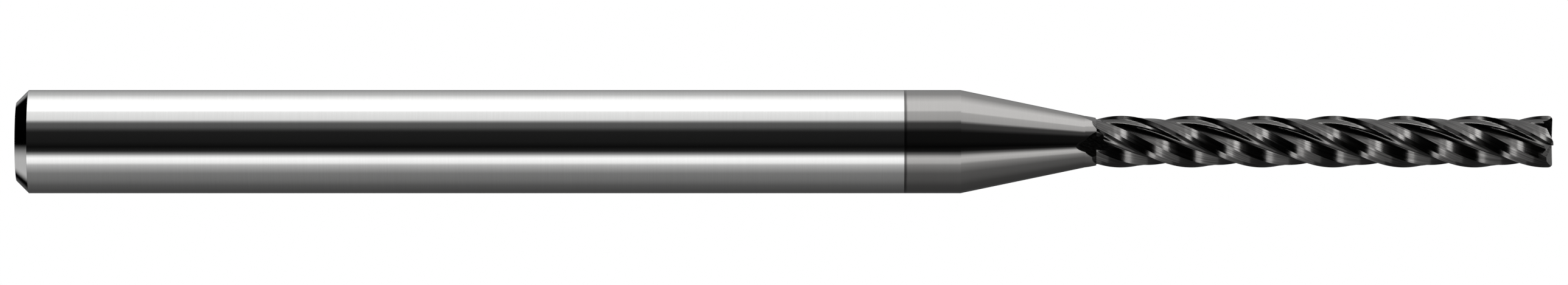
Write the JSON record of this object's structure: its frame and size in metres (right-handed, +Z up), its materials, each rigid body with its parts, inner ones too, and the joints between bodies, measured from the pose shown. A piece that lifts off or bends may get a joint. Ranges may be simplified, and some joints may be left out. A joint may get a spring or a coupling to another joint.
{
  "type": "end mill",
  "caption": "Solid carbide end mill with a round shank, tapered neck, short helical fluted cutter with relieved teeth and small corner radii, dark coating on the front part.",
  "frame": {"origin": "centre of the shank's rear face, on the tool axis", "axes": "+X along the tool axis towards the cutting tip, +Z up across the axis as the tool lies, +Y completing a right-handed frame"},
  "size_m": [0.047, 0.0032, 0.0032],
  "materials": {
    "bare_carbide": "ground and polished bare tungsten carbide",
    "coated_carbide": "ground tungsten carbide under a thin dark hard coating"
  },
  "bodies": {
    "root": {"shank": "bare_carbide", "coated_band": "coated_carbide", "neck_taper": "coated_carbide", "flute_core": "coated_carbide", "tooth_1": "coated_carbide", "tooth_2": "coated_carbide", "tooth_3": "coated_carbide", "tooth_4": "coated_carbide"}
  },
  "joints": []
}
